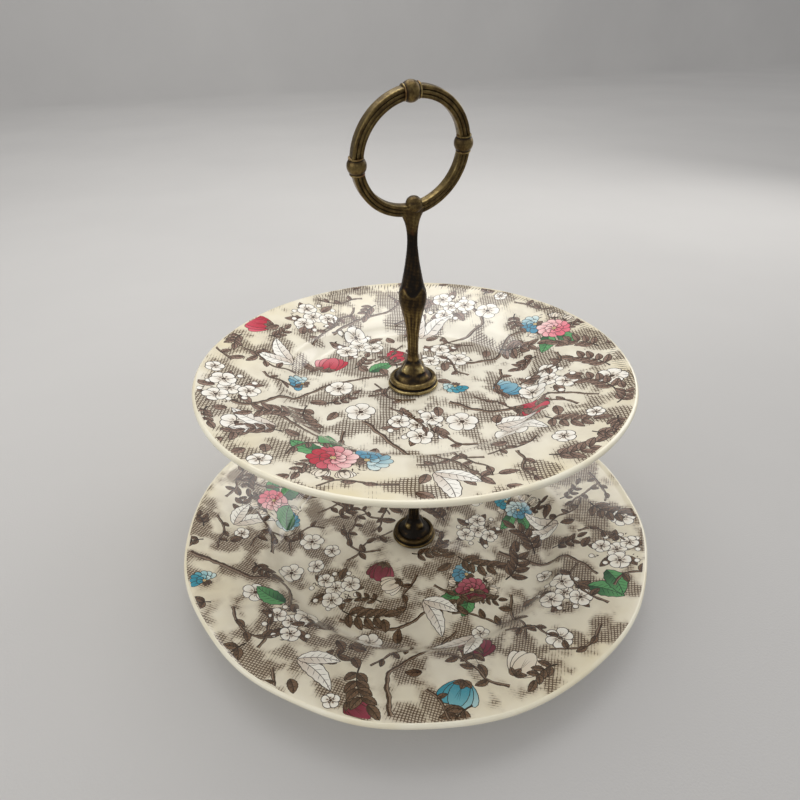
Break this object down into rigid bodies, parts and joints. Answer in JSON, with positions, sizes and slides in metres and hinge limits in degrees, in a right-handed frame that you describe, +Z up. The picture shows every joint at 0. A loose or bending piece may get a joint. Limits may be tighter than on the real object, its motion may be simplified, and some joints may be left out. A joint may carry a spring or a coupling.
{
  "type": "tiered cake stand",
  "caption": "Two-tier cake stand: a large and a small dished plate on a cast central spindle, with a ring handle on top for carrying.",
  "frame": {"origin": "on the table, on the spindle's axis, at the bottom of the lower plate's foot ring", "axes": "+Z up along the spindle; X runs across the handle's ring, and the ring's hole faces along Y"},
  "size_m": [0.254, 0.254, 0.2487],
  "materials": {
    "glazed_earthenware": "cream glaze over a brown all-over flower print, tinted by hand",
    "aged_brass": "aged, brown in the hollows and rubbed gold on the ridges",
    "plain_brass": "plain turned",
    "plated_steel": "zinc plated, slightly dull",
    "felt": "pressed wool felt",
    "nylon": "natural, smooth",
    "rubber": "matt black"
  },
  "bodies": {
    "lower_tier": {"lower_plate": "glazed_earthenware", "lower_bush": "nylon", "lower_under_pad": "rubber", "lower_washer": "plated_steel", "lower_felt": "felt"},
    "spindle": {"clamp_screw": "plated_steel", "spindle_foot": "aged_brass", "spindle_insert": "plain_brass", "spindle_stem": "aged_brass", "spindle_collar": "aged_brass", "spindle_stud": "plated_steel", "upper_under_felt": "felt"},
    "upper_tier": {"upper_plate": "glazed_earthenware", "upper_bush": "nylon"},
    "handle_seat": {"handle_foot": "aged_brass", "upper_felt": "felt"},
    "handle": {"handle_insert": "plain_brass", "handle_stem": "aged_brass", "ring_boss": "aged_brass", "handle_ring": "aged_brass", "ring_beads": "aged_brass"}
  },
  "joints": [
    {"name": "spindle_turn", "type": "hinge", "parent": "lower_tier", "child": "spindle", "pos_m": [0, 0, 0.01], "axis": [0, 0, 1], "continuous": true},
    {"name": "upper_plate_turn", "type": "hinge", "parent": "spindle", "child": "upper_tier", "pos_m": [0, 0, 0.11], "axis": [0, 0, 1], "continuous": true},
    {"name": "handle_lift", "type": "slide", "parent": "spindle", "child": "handle_seat", "axis": [0, 0, 1], "range_m": [0, 0.008]},
    {"name": "handle_turn", "type": "hinge", "parent": "handle_seat", "child": "handle", "pos_m": [0, 0, 0.116], "axis": [0, 0, 1], "range_deg": [0, 3601]}
  ],
  "couplings": [
    {"joint": "handle_turn", "follows": "handle_lift", "rad_per_m": 7854}
  ]
}
